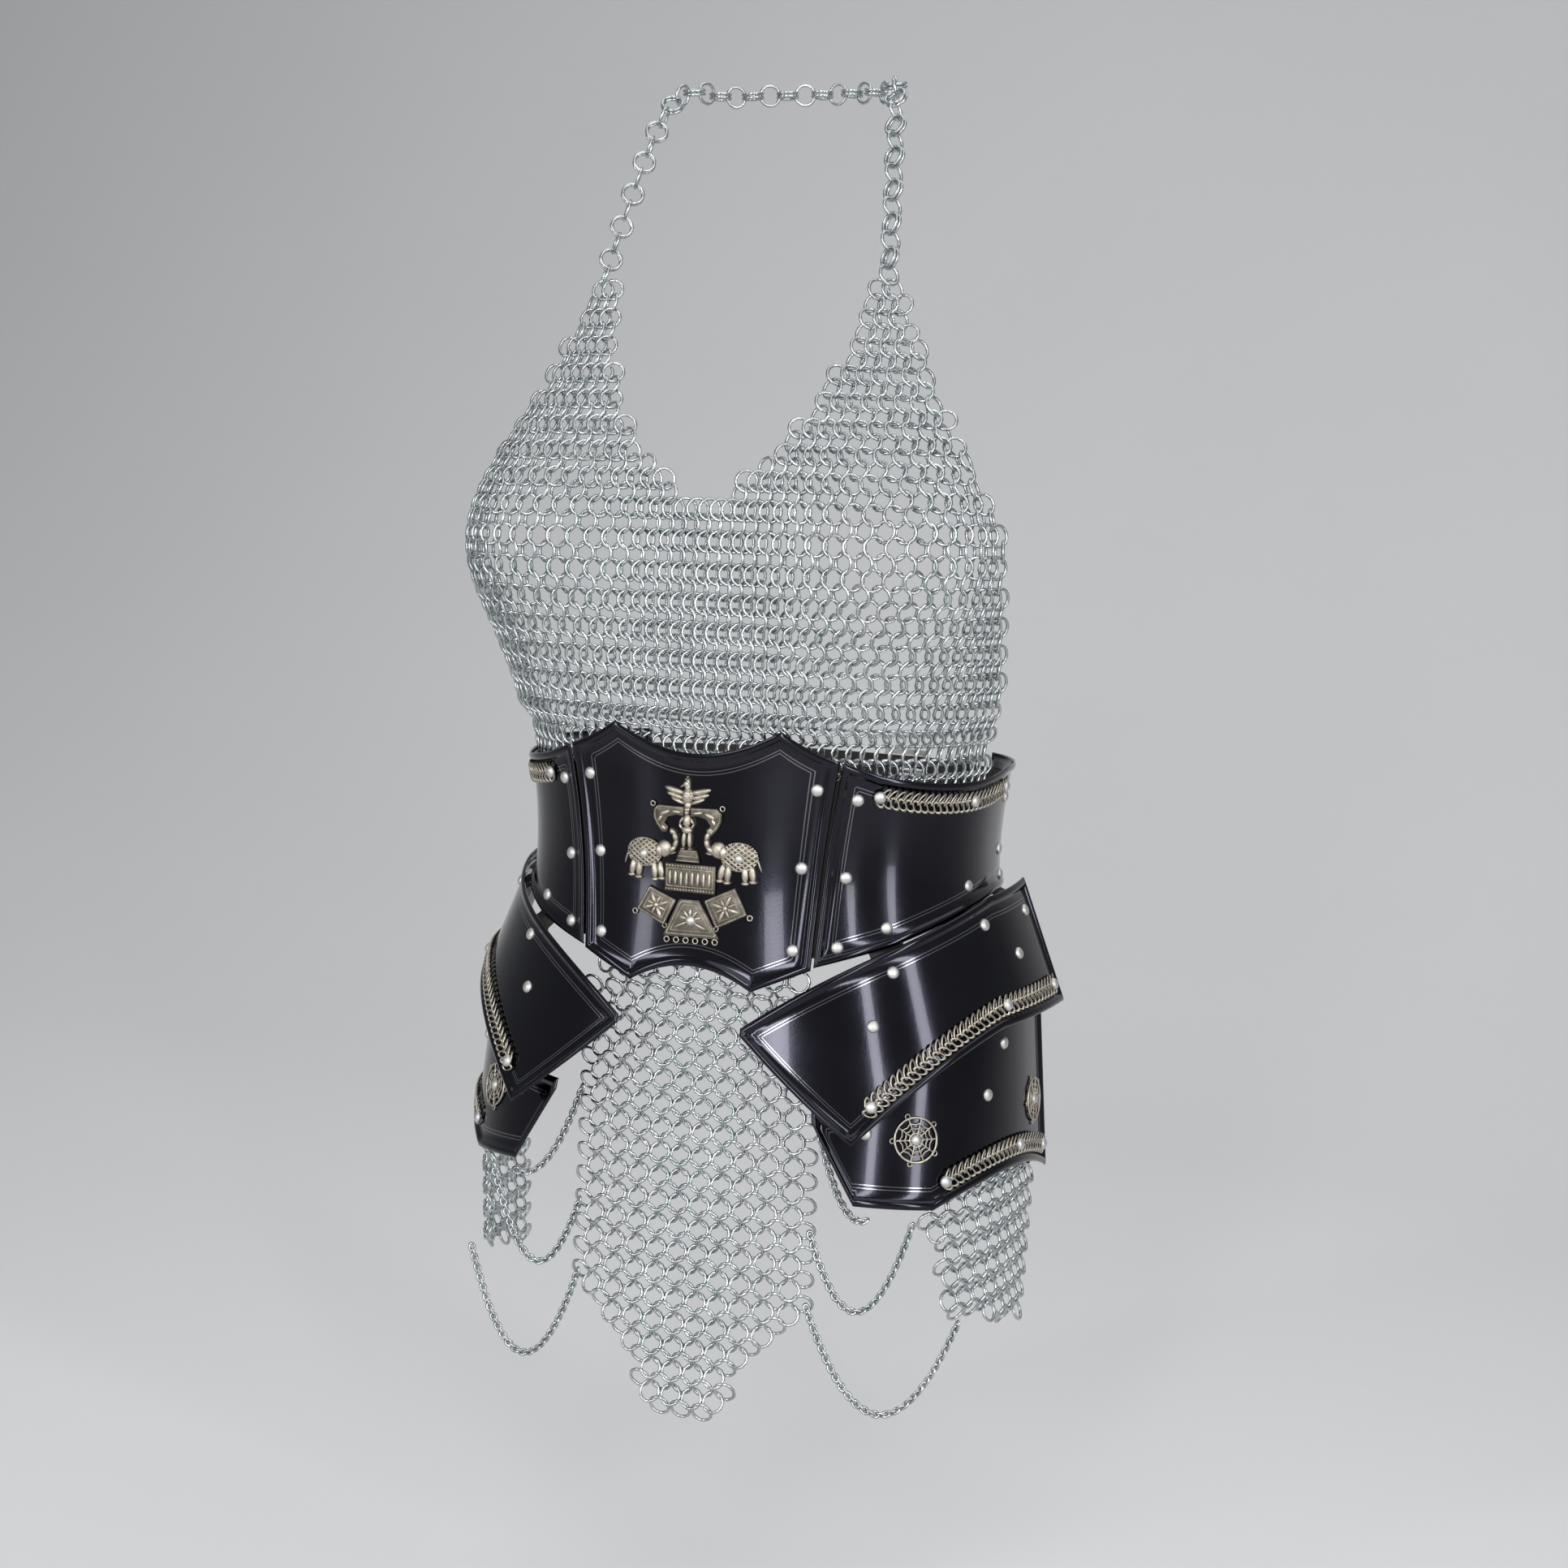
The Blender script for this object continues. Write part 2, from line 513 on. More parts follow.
def dome_mesh(radius_x, radius_y, height, sunk):
    """Return the top of a flattened ball, cut off flat at a depth of sunk below its widest place."""
    shaped = bmesh.new()
    bmesh.ops.create_uvsphere(shaped, u_segments=6, v_segments=4, radius=1.0)
    bmesh.ops.scale(shaped, vec=(radius_x, radius_y, height), verts=shaped.verts)
    cut = bmesh.ops.bisect_plane(shaped, geom=shaped.verts[:] + shaped.edges[:] + shaped.faces[:],
                                 plane_co=(0.0, 0.0, -sunk), plane_no=(0.0, 0.0, 1.0), clear_inner=True,
                                 dist=SEAT / 1000.0)
    rim = [part for part in cut["geom_cut"] if isinstance(part, bmesh.types.BMEdge)]
    bmesh.ops.holes_fill(shaped, edges=rim)
    bmesh.ops.recalc_face_normals(shaped, faces=shaped.faces)
    made = bpy.data.meshes.new("dome")
    shaped.to_mesh(made)
    shaped.free()
    return made


def rivet_heads(sheet, shares, side):
    """Return rivet heads for places given as shares of a plate."""
    head = dome_mesh(RIVET_RADIUS, RIVET_RADIUS, RIVET_HEIGHT, PLATE / 2.0)
    return [(head, seat(sheet.wall, *sheet.at(along, up), 0.0, side)) for along, up in shares]


def trim(name, sheet, shares, ends, side, near_top, pivot=None):
    """Make the flattened chain that trims an edge, as one band that follows the edge inside its rim."""
    start, end = ends
    columns = [start] + [share for share in shares if start < share < end] + [end]

    def follow(inset):
        def at(along):
            up = (RIM_WIDTH + RIM_FALL + SEAT + inset) / sheet.height(along)
            return sheet.at(along, 1.0 - up if near_top else up)
        return at
    near, far = follow(0.0), follow(TRIM_WIDTH)
    low, high = (far, near) if near_top else (near, far)
    Sheet(sheet.wall, low, high, TRIM, SEAT + TRIM).make(name, columns, 1, ANTIQUE, side, pivot=pivot)


def flat_mesh(loops, thickness):
    """Return a flat closed solid on local Z = 0 from a 2-D outline and the loops of its holes."""
    curve = bpy.data.curves.new("outline", "CURVE")
    curve.dimensions = "2D"
    curve.fill_mode = "BOTH"
    curve.extrude = thickness / 2.0
    for loop in loops:
        spline = curve.splines.new("POLY")
        spline.points.add(len(loop) - 1)
        for knot, (x, y) in zip(spline.points, loop):
            knot.co = (x, y, 0.0, 1.0)
        spline.use_cyclic_u = True
    return solid_from_curve(curve, thickness / 2.0)


def tube_mesh(points, radius):
    """Return a closed tube along points, with its caps welded."""
    curve = bpy.data.curves.new("tube", "CURVE")
    curve.dimensions = "3D"
    curve.bevel_depth = radius
    curve.bevel_resolution = 2
    curve.use_fill_caps = True
    spline = curve.splines.new("POLY")
    spline.points.add(len(points) - 1)
    for knot, point in zip(spline.points, points):
        knot.co = (*point, 1.0)
    return solid_from_curve(curve, 0.0)


def solid_from_curve(curve, rise):
    """Turn a curve into a mesh with welded caps, moved up by rise."""
    guide = bpy.data.objects.new("guide", curve)
    TOOLS.objects.link(guide)
    bpy.context.view_layer.update()
    made = bpy.data.meshes.new_from_object(guide.evaluated_get(bpy.context.evaluated_depsgraph_get()))
    bpy.data.objects.remove(guide)
    shaped = bmesh.new()
    shaped.from_mesh(made)
    bmesh.ops.remove_doubles(shaped, verts=shaped.verts, dist=SEAT / 100.0)
    bmesh.ops.recalc_face_normals(shaped, faces=shaped.faces)
    bmesh.ops.translate(shaped, vec=(0.0, 0.0, rise), verts=shaped.verts)
    shaped.to_mesh(made)
    shaped.free()
    return made


def ring_mesh(segments=6, sides=3):
    """Return one mail ring in its own XY plane, its wire's ridge turned to the ring's inside."""
    mean = (RING_INNER + WIRE) / 2.0
    shaped = bmesh.new()
    section = []
    for k in range(sides):
        turn = math.pi + math.tau * k / sides
        section.append(shaped.verts.new((mean + WIRE / 2.0 * math.cos(turn), 0.0, WIRE / 2.0 * math.sin(turn))))
    lines = [shaped.edges.new((section[k], section[(k + 1) % sides])) for k in range(sides)]
    bmesh.ops.spin(shaped, geom=section + lines, cent=(0.0, 0.0, 0.0), axis=(0.0, 0.0, 1.0), angle=math.tau,
                   steps=segments, use_merge=True)
    bmesh.ops.remove_doubles(shaped, verts=shaped.verts, dist=SEAT / 100.0)
    bmesh.ops.recalc_face_normals(shaped, faces=shaped.faces)
    made = bpy.data.meshes.new("mail_ring")
    shaped.to_mesh(made)
    shaped.free()
    return made


def empty_at(name, location):
    """Return an empty that stands on a joint's axis and carries the pieces that turn about it."""
    made = bpy.data.objects.new(name, None)
    made.location = location
    PARTS.objects.link(made)
    return made


def mail_top():
    """The halter top: one mail panel over the chest with two straps and a deep V neck."""
    low = level(MAIL_TOP_SIDE_ANGLE, MAIL_TOP_LOW_Z)
    high = edge(MAIL_TOP_SHARES, (-ARMHOLE_ANGLE, ARMHOLE_Z, 0.0), (-STRAP_OUT_ANGLE, STRAP_Z, 0.0),
                (-STRAP_IN_ANGLE, STRAP_Z, -NECKLINE_SAG), (0.0, NECK_Z, -NECKLINE_SAG),
                (STRAP_IN_ANGLE, STRAP_Z, 0.0), (STRAP_OUT_ANGLE, STRAP_Z, 0.0), (ARMHOLE_ANGLE, ARMHOLE_Z, 0.0))
    panel = Sheet(MAIL_TORSO, low, high, MAIL)
    start, strap_out, strap_in, middle, other_in, other_out, end = MAIL_TOP_SHARES
    shares = joined(spread(start, strap_out, 4), spread(strap_out, strap_in, 1), spread(strap_in, middle, 8),
                    spread(middle, other_in, 8), spread(other_in, other_out, 1), spread(other_out, end, 4))
    heights = []
    for share in shares:
        top = high(share)[1] - MAIL_TOP_LOW_Z
        tucked = [(z - MAIL_TOP_LOW_Z) / top for z in (MAIL_TOP_LOW_Z, TUCK_LOW_Z)]
        heights.append(tucked + spread((TUCK_TOP_Z - MAIL_TOP_LOW_Z) / top, 1.0, 8))
    panel.make("mail_top", shares, heights, STEEL_RING)


def mail_yoke_and_apron(pivot):
    """The mail behind the belt's lower edge, and the apron that swings below it."""
    yoke = Sheet(YOKE_WALL, level(YOKE_LOW_ANGLE, YOKE_LOW_Z), level(YOKE_TOP_ANGLE, YOKE_TOP_Z), MAIL)
    yoke.make("mail_yoke", spread(0.0, 1.0, 8), 2, STEEL_RING)
    low = edge(APRON_LOW_SHARES, (-APRON_CORNER_ANGLE, APRON_CORNER_Z, 0.0), (-APRON_TIP_ANGLE, APRON_TIP_Z, 0.0),
               (APRON_TIP_ANGLE, APRON_TIP_Z, 0.0), (APRON_CORNER_ANGLE, APRON_CORNER_Z, 0.0))
    apron = Sheet(APRON_WALL, low, level(APRON_TOP_ANGLE, APRON_TOP_Z), MAIL)
    start, first_tip, last_tip, end = APRON_LOW_SHARES
    shares = joined(spread(start, first_tip, 4), spread(first_tip, last_tip, 2), spread(last_tip, end, 4))
    apron.make("mail_apron", shares, 8, STEEL_RING, pivot=pivot)
    return apron


def halter_places():
    """Return an odd number of places a link apart, from one strap end round the neck to the other."""
    strap = MAIL_TORSO.bare((STRAP_IN_ANGLE + STRAP_OUT_ANGLE) / 2.0, STRAP_Z)
    strap.z += RING_INNER / 2.0 + SEAT * 2.0
    half = [Vector((0.0, NAPE_Y, NAPE_Z)), Vector((NECK_BACK_X, NECK_BACK_Y, NECK_BACK_Z)),
            Vector((NECK_SIDE_X, NECK_SIDE_Y, NECK_SIDE_Z)), strap]
    knots = [Vector((-p.x, p.y, p.z)) for p in reversed(half)][:-1] + half
    fine = []
    for index in range(len(knots) - 1):
        before, start = knots[max(index - 1, 0)], knots[index]
        end, after = knots[index + 1], knots[min(index + 2, len(knots) - 1)]
        for t in spread(0.0, 1.0, 40)[:-1]:
            fine.append(0.5 * (2.0 * start + (end - before) * t
                               + (2.0 * before - 5.0 * start + 4.0 * end - after) * t * t
                               + (3.0 * start - before - 3.0 * end + after) * t ** 3))
    fine.append(knots[-1])
    lengths = [0.0]
    for first, second in zip(fine, fine[1:]):
        lengths.append(lengths[-1] + (second - first).length)
    pitch = RING_INNER + LINK_BITE
    count = 2 * int(lengths[-1] / pitch / 2.0) + 1
    places = []
    for wanted in spread(0.0, lengths[-1], count - 1):
        index = max(i for i in range(len(lengths) - 1) if lengths[i] <= wanted)
        share = (wanted - lengths[index]) / (lengths[index + 1] - lengths[index])
        places.append(fine[index].lerp(fine[index + 1], share))
    return places


def halter_chain():
    """The chain round the neck: a ring that lies flat, then a pair of rings on edge, and so on."""
    ring = ring_mesh()
    places = halter_places()
    flat, pairs = [], []
    for index, place in enumerate(places):
        before, after = places[max(index - 1, 0)], places[min(index + 1, len(places) - 1)]
        along = (after - before).normalized()
        outward = Vector((place.x, place.y, 0.0)).normalized()
        outward = (outward - along * outward.dot(along)).normalized()
        across = along.cross(outward)
        if index % 2 == 0:
            basis = Matrix((along, -across, outward)).transposed().to_4x4()
            flat.append((ring, Matrix.Translation(place) @ basis))
            continue
        basis = Matrix((along, outward, across)).transposed().to_4x4()
        for half in (-0.5, 0.5):
            pairs.append((ring, Matrix.Translation(place + across * PAIR_SPACING * half) @ basis))
    unite(add_object("halter_chain", transformed(flat), STEEL_RING), transformed(pairs))


def centre_plate():
    """The belt's front plate, with two peaks above, two points below and a rolled rim."""
    high = edge(CENTRE_HIGH_SHARES, (-CENTRE_TOP_ANGLE, CENTRE_TOP_Z, -SHOULDER_SAG),
                (-PEAK_ANGLE, PEAK_Z, -DIP_DEPTH), (PEAK_ANGLE, PEAK_Z, -SHOULDER_SAG),
                (CENTRE_TOP_ANGLE, CENTRE_TOP_Z, 0.0))
    low = edge(CENTRE_LOW_SHARES, (-CENTRE_LOW_ANGLE, CENTRE_LOW_Z, 0.0), (-TIP_ANGLE, TIP_Z, ARCH_RISE),
               (TIP_ANGLE, TIP_Z, 0.0), (CENTRE_LOW_ANGLE, CENTRE_LOW_Z, 0.0))
    plate = Sheet(TORSO, low, high, PLATE)
    corners = CENTRE_HIGH_SHARES[1:-1] + CENTRE_LOW_SHARES[1:-1]
    inner = sorted([*corners, *spread(0.09, 0.14, 1), *spread(0.28, 0.72, 6), *spread(0.86, 0.91, 1)])
    shares = rim_lines(plate.width(), inner)
    made = plate.make("centre_plate", shares, rim_rows(plate, shares, 5), BLACK_STEEL, rim=True)
    both = [place for along, up in CENTRE_RIVET_SHARES for place in ((along, up), (1.0 - along, up))]
    unite(made, transformed(rivet_heads(plate, both, 1)))


def side_plates():
    """The belt's side plates, from the front seams to the back, with the trim along their top edges."""
    low = edge(SIDE_LOW_SHARES, (SIDE_LOW_ANGLE, SIDE_LOW_Z, 0.0), (SIDE_HIP_ANGLE, SIDE_HIP_Z, SIDE_LOW_SAG),
               (SIDE_MID_ANGLE, SIDE_MID_LOW_Z, 0.0), (SIDE_BACK_ANGLE, SIDE_MID_LOW_Z, 0.0))
    high = edge(SIDE_HIGH_SHARES, (SIDE_TOP_ANGLE, SIDE_TOP_Z, 0.0), (SIDE_STEP_ANGLE, SIDE_STEP_Z, -SIDE_TOP_SAG),
                (SIDE_MID_ANGLE, SIDE_MID_TOP_Z, 0.0), (SIDE_BACK_ANGLE, SIDE_MID_TOP_Z, 0.0))
    plate = Sheet(TORSO, low, high, PLATE)
    inner = sorted([SIDE_HIGH_SHARES[1], SIDE_LOW_SHARES[1], 0.165, *spread(0.28, 0.94, 12)])
    shares = rim_lines(plate.width(), inner)
    for word, side in SIDES.items():
        made = plate.make(f"side_plate_{word}", shares, rim_rows(plate, shares, 4), BLACK_STEEL, side, rim=True)
        unite(made, transformed(rivet_heads(plate, SIDE_RIVET_SHARES, side)))
        trim(f"belt_trim_{word}", plate, shares, BELT_TRIM_SHARES, side, near_top=True)
    return plate


def belt_leathers():
    """A leather strip behind each seam, and the one behind the lower edge that the yoke hangs from."""
    def seam_edge(z):
        share = (z - SIDE_LOW_Z) / (SIDE_TOP_Z - SIDE_LOW_Z)
        middle = SIDE_LOW_ANGLE + (SIDE_TOP_ANGLE - SIDE_LOW_ANGLE) * share
        reach = TORSO.turn(middle, z, SEAM_REACH)
        return level(middle + reach, z, middle - reach)
    seam = Sheet(TORSO, seam_edge(SEAM_LOW_Z), seam_edge(SEAM_TOP_Z), LEATHER, UNDER_PLATE)
    for word, side in SIDES.items():
        seam.make(f"seam_leather_{word}", spread(0.0, 1.0, 4), 6, LEATHER_BLACK, side)
    strip = Sheet(TORSO, level(STRIP_ANGLE, STRIP_LOW_Z), level(STRIP_ANGLE, STRIP_TOP_Z), LEATHER, UNDER_PLATE)
    strip.make("apron_strip", spread(0.0, 1.0, 10), 2, LEATHER_BLACK)


def hanger(name, steps, side, pivot=None):
    """Make a leather hanger whose outer face runs through (wall, angle, height) steps, from the top down."""
    def place(column, row):
        wall, degrees, z = steps[len(steps) - 1 - row]
        reach = wall.turn(degrees, z, HANGER_WIDTH / 2.0)
        return wall.point(degrees + reach * (column - 1), z, UNDER_PLATE)
    mesh = grid_mesh(name, 3, len(steps), place, side)
    thicken(add_object(name, mesh, LEATHER_BLACK, pivot), LEATHER)


def upper_tassets(belt, pivots):
    """Upper tasset plates with their trim, and the leathers that hang them from the belt."""
    low = edge(UT_LOW_SHARES, (UT_TIP_ANGLE, UT_TIP_Z - UT_TIP_HEIGHT, 0.0),
               (UT_CORNER_ANGLE, UT_CORNER_Z, UT_EDGE_SAG), (UT_EDGE_ANGLE, UT_EDGE_Z, UT_BACK_SAG),
               (UT_BACK_ANGLE, UT_BACK_LOW_Z, 0.0))
    high = edge(UT_HIGH_SHARES, (UT_TIP_ANGLE, UT_TIP_Z, UT_TOP_SAG),
                (UT_SHOULDER_ANGLE, UT_SHOULDER_Z, UT_SHOULDER_SAG), (UT_HIP_ANGLE, UT_HIP_Z, 0.0),
                (UT_BACK_ANGLE, UT_BACK_TOP_Z, 0.0))
    plate = Sheet(UPPER, low, high, PLATE)
    corners = UT_LOW_SHARES[1:-1] + UT_HIGH_SHARES[1:-1]
    inner = sorted([*corners, *spread(0.08, 0.20, 2), 0.33, *spread(0.45, 0.61, 2), *spread(0.80, 0.93, 2)])
    shares = rim_lines(plate.width(), inner)
    strap_foot = LOWER_STRAP_Z - REAR_STRAP_WIDTH / 2.0
    for word, side in SIDES.items():
        pivot = pivots[word]
        made = plate.make(f"upper_tasset_{word}", shares, rim_rows(plate, shares, 4), BLACK_STEEL, side, True, pivot)
        unite(made, transformed(rivet_heads(plate, UT_RIVET_SHARES, side)), pivot)
        trim(f"upper_trim_{word}", plate, shares, UT_TRIM_SHARES, side, near_top=False, pivot=pivot)
        for place_name, (belt_angle, tasset_angle) in BELT_HANGER_ANGLES.items():
            belt_edge = belt.edge_height(belt_angle, upper=False)
            tasset_edge = plate.edge_height(tasset_angle, upper=True)
            reach = TORSO.turn(belt_angle, belt_edge, HANGER_WIDTH / 2.0)
            under_strap = belt_angle + reach > STRAP_START_ANGLE
            lap = min(HANGER_LAP, strap_foot - belt_edge - SEAT * 3.0) if under_strap else HANGER_LAP
            hanger(f"belt_hanger_{place_name}_{word}", (
                (TORSO, belt_angle, belt_edge + lap), (TORSO, belt_angle, belt_edge - SEAT),
                (UPPER, tasset_angle, min(tasset_edge, belt_edge) - LEATHER * 2.0),
                (UPPER, tasset_angle, tasset_edge - HANGER_LAP)), side)


def lower_tassets(upper_pivots, lower_pivots):
    """Lower tasset plates with their trim, and the leathers that hang them inside the upper ones."""
    low = edge(LT_SHARES, (LT_FRONT_ANGLE, LT_FRONT_LOW_Z, 0.0), (LT_CORNER_ANGLE, LT_CORNER_Z, 0.0),
               (LT_HEEL_ANGLE, LT_HEEL_Z, LT_ARCH_RISE), (LT_BACK_ANGLE, LT_BACK_Z, 0.0))
    high = edge(LT_SHARES, (LT_FRONT_ANGLE, LT_FRONT_TOP_Z, 0.0), (LT_CORNER_ANGLE, LT_CORNER_TOP_Z, 0.0),
                (LT_HEEL_ANGLE, LT_HEEL_TOP_Z, LT_TOP_SAG), (LT_BACK_ANGLE, LT_BACK_TOP_Z, 0.0))
    plate = Sheet(LOWER, low, high, PLATE)
    shares = rim_lines(plate.width(), sorted([*LT_SHARES[1:-1], *spread(0.18, 0.30, 2), *spread(0.43, 0.92, 6)]))
    for word, side in SIDES.items():
        pivot = lower_pivots[word]
        made = plate.make(f"lower_tasset_{word}", shares, rim_rows(plate, shares, 5), BLACK_STEEL, side, True, pivot)
        unite(made, transformed(rivet_heads(plate, LT_RIVET_SHARES, side)), pivot)
        trim(f"lower_trim_{word}", plate, shares, LT_TRIM_SHARES, side, near_top=False, pivot=pivot)
        for place_name, (upper_angle, lower_angle) in TASSET_HANGER_ANGLES.items():
            reach = LOWER.turn(lower_angle, LT_HEEL_TOP_Z, HANGER_WIDTH / 2.0)
            top = max(plate.edge_height(lower_angle + step, upper=True) for step in (-reach, 0.0, reach))
            hanger(f"tasset_hanger_{place_name}_{word}", (
                (UPPER, upper_angle, top + HANGER_LAP * HANGER_TOP_LAPS),
                (UPPER, upper_angle, top + HANGER_LAP * HANGER_BEND_LAPS),
                (LOWER, lower_angle, top + LEATHER), (LOWER, lower_angle, top - HANGER_LAP)),
                side, upper_pivots[word])
    return plate


def rosette_mesh():
    """Return a web-like round charm: a rim with outer loops, an open web and a solid middle."""
    outer = []
    for turn in spread(0.0, math.tau, 30)[:-1]:
        radius = ROSETTE_RADIUS * (1.0 + LOOP_RISE_SHARE * max(math.cos(ROSETTE_LOOPS * turn), 0.0) ** 6)
        outer.append((radius * math.cos(turn), radius * math.sin(turn)))
    loops = [outer]
    for spoke in range(WEB_SPOKES):
        first, middle, last = [math.tau * (spoke + share) / WEB_SPOKES for share in SPOKE_SHARES]
        for inner_share, outer_share in WEB_SHARES:
            low, high = ROSETTE_RADIUS * inner_share, ROSETTE_RADIUS * outer_share
            corners = ((high, first), (high, middle), (high, last), (low, middle))
            loops.append([(radius * math.cos(turn), radius * math.sin(turn)) for radius, turn in corners])
    return flat_mesh(loops, ROSETTE_THICKNESS)


def rosettes(plate, pivots):
    """Two rosettes on each lower tasset, each held by its own rivet head."""
    head = dome_mesh(RIVET_RADIUS, RIVET_RADIUS, RIVET_HEIGHT, ROSETTE_THICKNESS / 2.0)
    for word, side in SIDES.items():
        for place_name, (along, up) in ROSETTE_SHARES.items():
            frame = seat(LOWER, *plate.at(along, up), ORNAMENT_LIFT, side)
            made = add_object(f"rosette_{place_name}_{word}", transformed([(rosette_mesh(), frame)]), ANTIQUE,
                              pivots[word])
            top = frame @ Matrix.Translation((0.0, 0.0, ROSETTE_THICKNESS))
            unite(made, transformed([(head, top)]), pivots[word])


def hip_mail(pivots):
    """Mail panels on the hips."""
    low = edge(HIP_MAIL_LOW_SHARES, (HIP_MAIL_CORNER_ANGLE, HIP_MAIL_CORNER_Z, 0.0),
               (HIP_MAIL_MID_ANGLE, HIP_MAIL_MID_Z, 0.0), (HIP_MAIL_BACK_ANGLE, HIP_MAIL_BACK_Z, 0.0))
    panel = Sheet(HIP_WALL, low, level(HIP_MAIL_BACK_ANGLE, HIP_MAIL_TOP_Z, HIP_MAIL_TOP_ANGLE), MAIL)
    start, middle, end = HIP_MAIL_LOW_SHARES
    shares = joined(spread(start, middle, 5), spread(middle, end, 4))
    for word, side in SIDES.items():
        panel.make(f"hip_mail_{word}", shares, 6, STEEL_RING, side, pivot=pivots[word])


def drapes(apron, pivot):
    """Three curb chains on each side that hang from the apron's edge towards the hip."""
    routes = {
        "high": (HIGH_DRAPE_SHARE, HIGH_DRAPE_ANGLE, HIGH_DRAPE_Z, HIGH_DRAPE_SAG),
        "middle": (MID_DRAPE_SHARE, MID_DRAPE_ANGLE, MID_DRAPE_Z, MID_DRAPE_SAG),
        "low": (LOW_DRAPE_SHARE, LOW_DRAPE_ANGLE, LOW_DRAPE_Z, LOW_DRAPE_SAG),
    }
    for word, side in SIDES.items():
        for place_name, (start_share, angle, z, sag) in routes.items():
            first = apron.place(1.0, start_share, -MAIL / 2.0)
            first.x += SEAT + DRAPE_WIDTH / 2.0
            last = LOWER.point(angle, z, -DRAPE_TUCK)
            points = []
            for t in spread(0.0, 1.0, 10):
                point = first.lerp(last, t) - Vector((0.0, 0.0, sag * 4.0 * t * (1.0 - t)))
                point.x *= side
                points.append(point)
            add_object(f"drape_{place_name}_{word}", tube_mesh(points, DRAPE_WIDTH / 2.0), STEEL_RING, pivot)


def strap(name, steps, middle, slots):
    """Make a leather strap at a height, its face through (angle, lift) steps, with slots for the prong."""
    rows = (-REAR_STRAP_WIDTH / 2.0, -SLOT_WIDTH / 2.0, SLOT_WIDTH / 2.0, REAR_STRAP_WIDTH / 2.0)

    def place(column, row):
        degrees, lift = steps[column]
        return TORSO.point(degrees, middle + rows[row], lift)
    mesh = grid_mesh(name, len(steps), len(rows), place, 1, [(column, 1) for column in slots])
    if steps[-1][0] < steps[0][0]:
        mesh.flip_normals()
    thicken(add_object(name, mesh, LEATHER_BLACK), LEATHER)


def back_closure(heights, pivots):
    """Two straps with buckles at the back. Each tail passes under the front bar and over the heel bar."""
    over_bar = SEAT + FRAME_THICKNESS + SEAT
    over_strap = over_bar + LEATHER + SEAT + LEATHER
    half_bar = BAR_SPAN / 2.0
    window = FRONT_BAR_ANGLE - HEEL_ANGLE
    under = spread(STRAP_START_ANGLE, SIDE_BACK_ANGLE, 3)
    flat = spread(SIDE_BACK_ANGLE + STRAP_CLEAR_ANGLE, 360.0 - FRONT_BAR_ANGLE + BAR_SPAN, 9)
    tail = [(-degrees, UNDER_PLATE) for degrees in under] + [(-degrees, 0.0) for degrees in flat]
    climb_start = len(tail)
    tail += [(FRONT_BAR_ANGLE - 360.0 - window * along, over_strap * rise) for along, rise in CLIMB_SHARES]
    tail += [(HEEL_ANGLE - 360.0, over_strap), (CHAPE_END_ANGLE + BAR_SPAN - 360.0, over_strap),
             (TAIL_END_ANGLE - 360.0, over_strap - FRAME_THICKNESS)]
    chape = [(degrees, UNDER_PLATE) for degrees in under]
    chape += [(SIDE_BACK_ANGLE + STRAP_CLEAR_ANGLE, 0.0), (CHAPE_END_ANGLE, 0.0), (HEEL_ANGLE - half_bar * 3.0, 0.0),
              (HEEL_ANGLE + half_bar, 0.0), (HEEL_ANGLE + half_bar * 2.0, over_bar / 2.0),
              (HEEL_ANGLE + half_bar, over_bar), (HEEL_ANGLE - half_bar * 3.0, over_bar),
              (CHAPE_END_ANGLE + half_bar * 4.0, over_bar), (CHAPE_END_ANGLE, SEAT)]
    for word, middle in heights.items():
        strap(f"strap_tail_{word}", tail, middle, range(climb_start, climb_start + len(CLIMB_SHARES)))
        strap(f"buckle_strap_{word}", chape, middle, range(len(under) + 2, len(under) + 6))
        buckle_frame(word, middle)
        prong = [TORSO.point(degrees, middle, over_bar + PRONG_RADIUS)
                 for degrees in spread(HEEL_ANGLE, FRONT_BAR_ANGLE + half_bar, 4)]
        add_object(f"buckle_prong_{word}", tube_mesh(prong, PRONG_RADIUS), BUCKLE_METAL, pivots[word])


def buckle_frame(word, middle):
    """A rectangular buckle frame that follows the back's curve."""
    half = FRAME_HEIGHT / 2.0
    heights = (-half, FRAME_RAIL - half, half - FRAME_RAIL, half)
    half_bar = BAR_SPAN / 2.0
    turns = [HEEL_ANGLE - half_bar, *spread(HEEL_ANGLE + half_bar, FRONT_BAR_ANGLE - half_bar, 3),
             FRONT_BAR_ANGLE + half_bar]

    def place(column, row):
        return TORSO.point(turns[column], middle + heights[row], SEAT + FRAME_THICKNESS)
    mesh = grid_mesh(f"buckle_frame_{word}", len(turns), len(heights), place, 1, [(1, 1), (2, 1), (3, 1)])
    thicken(add_object(f"buckle_frame_{word}", mesh, BUCKLE_METAL), FRAME_THICKNESS)


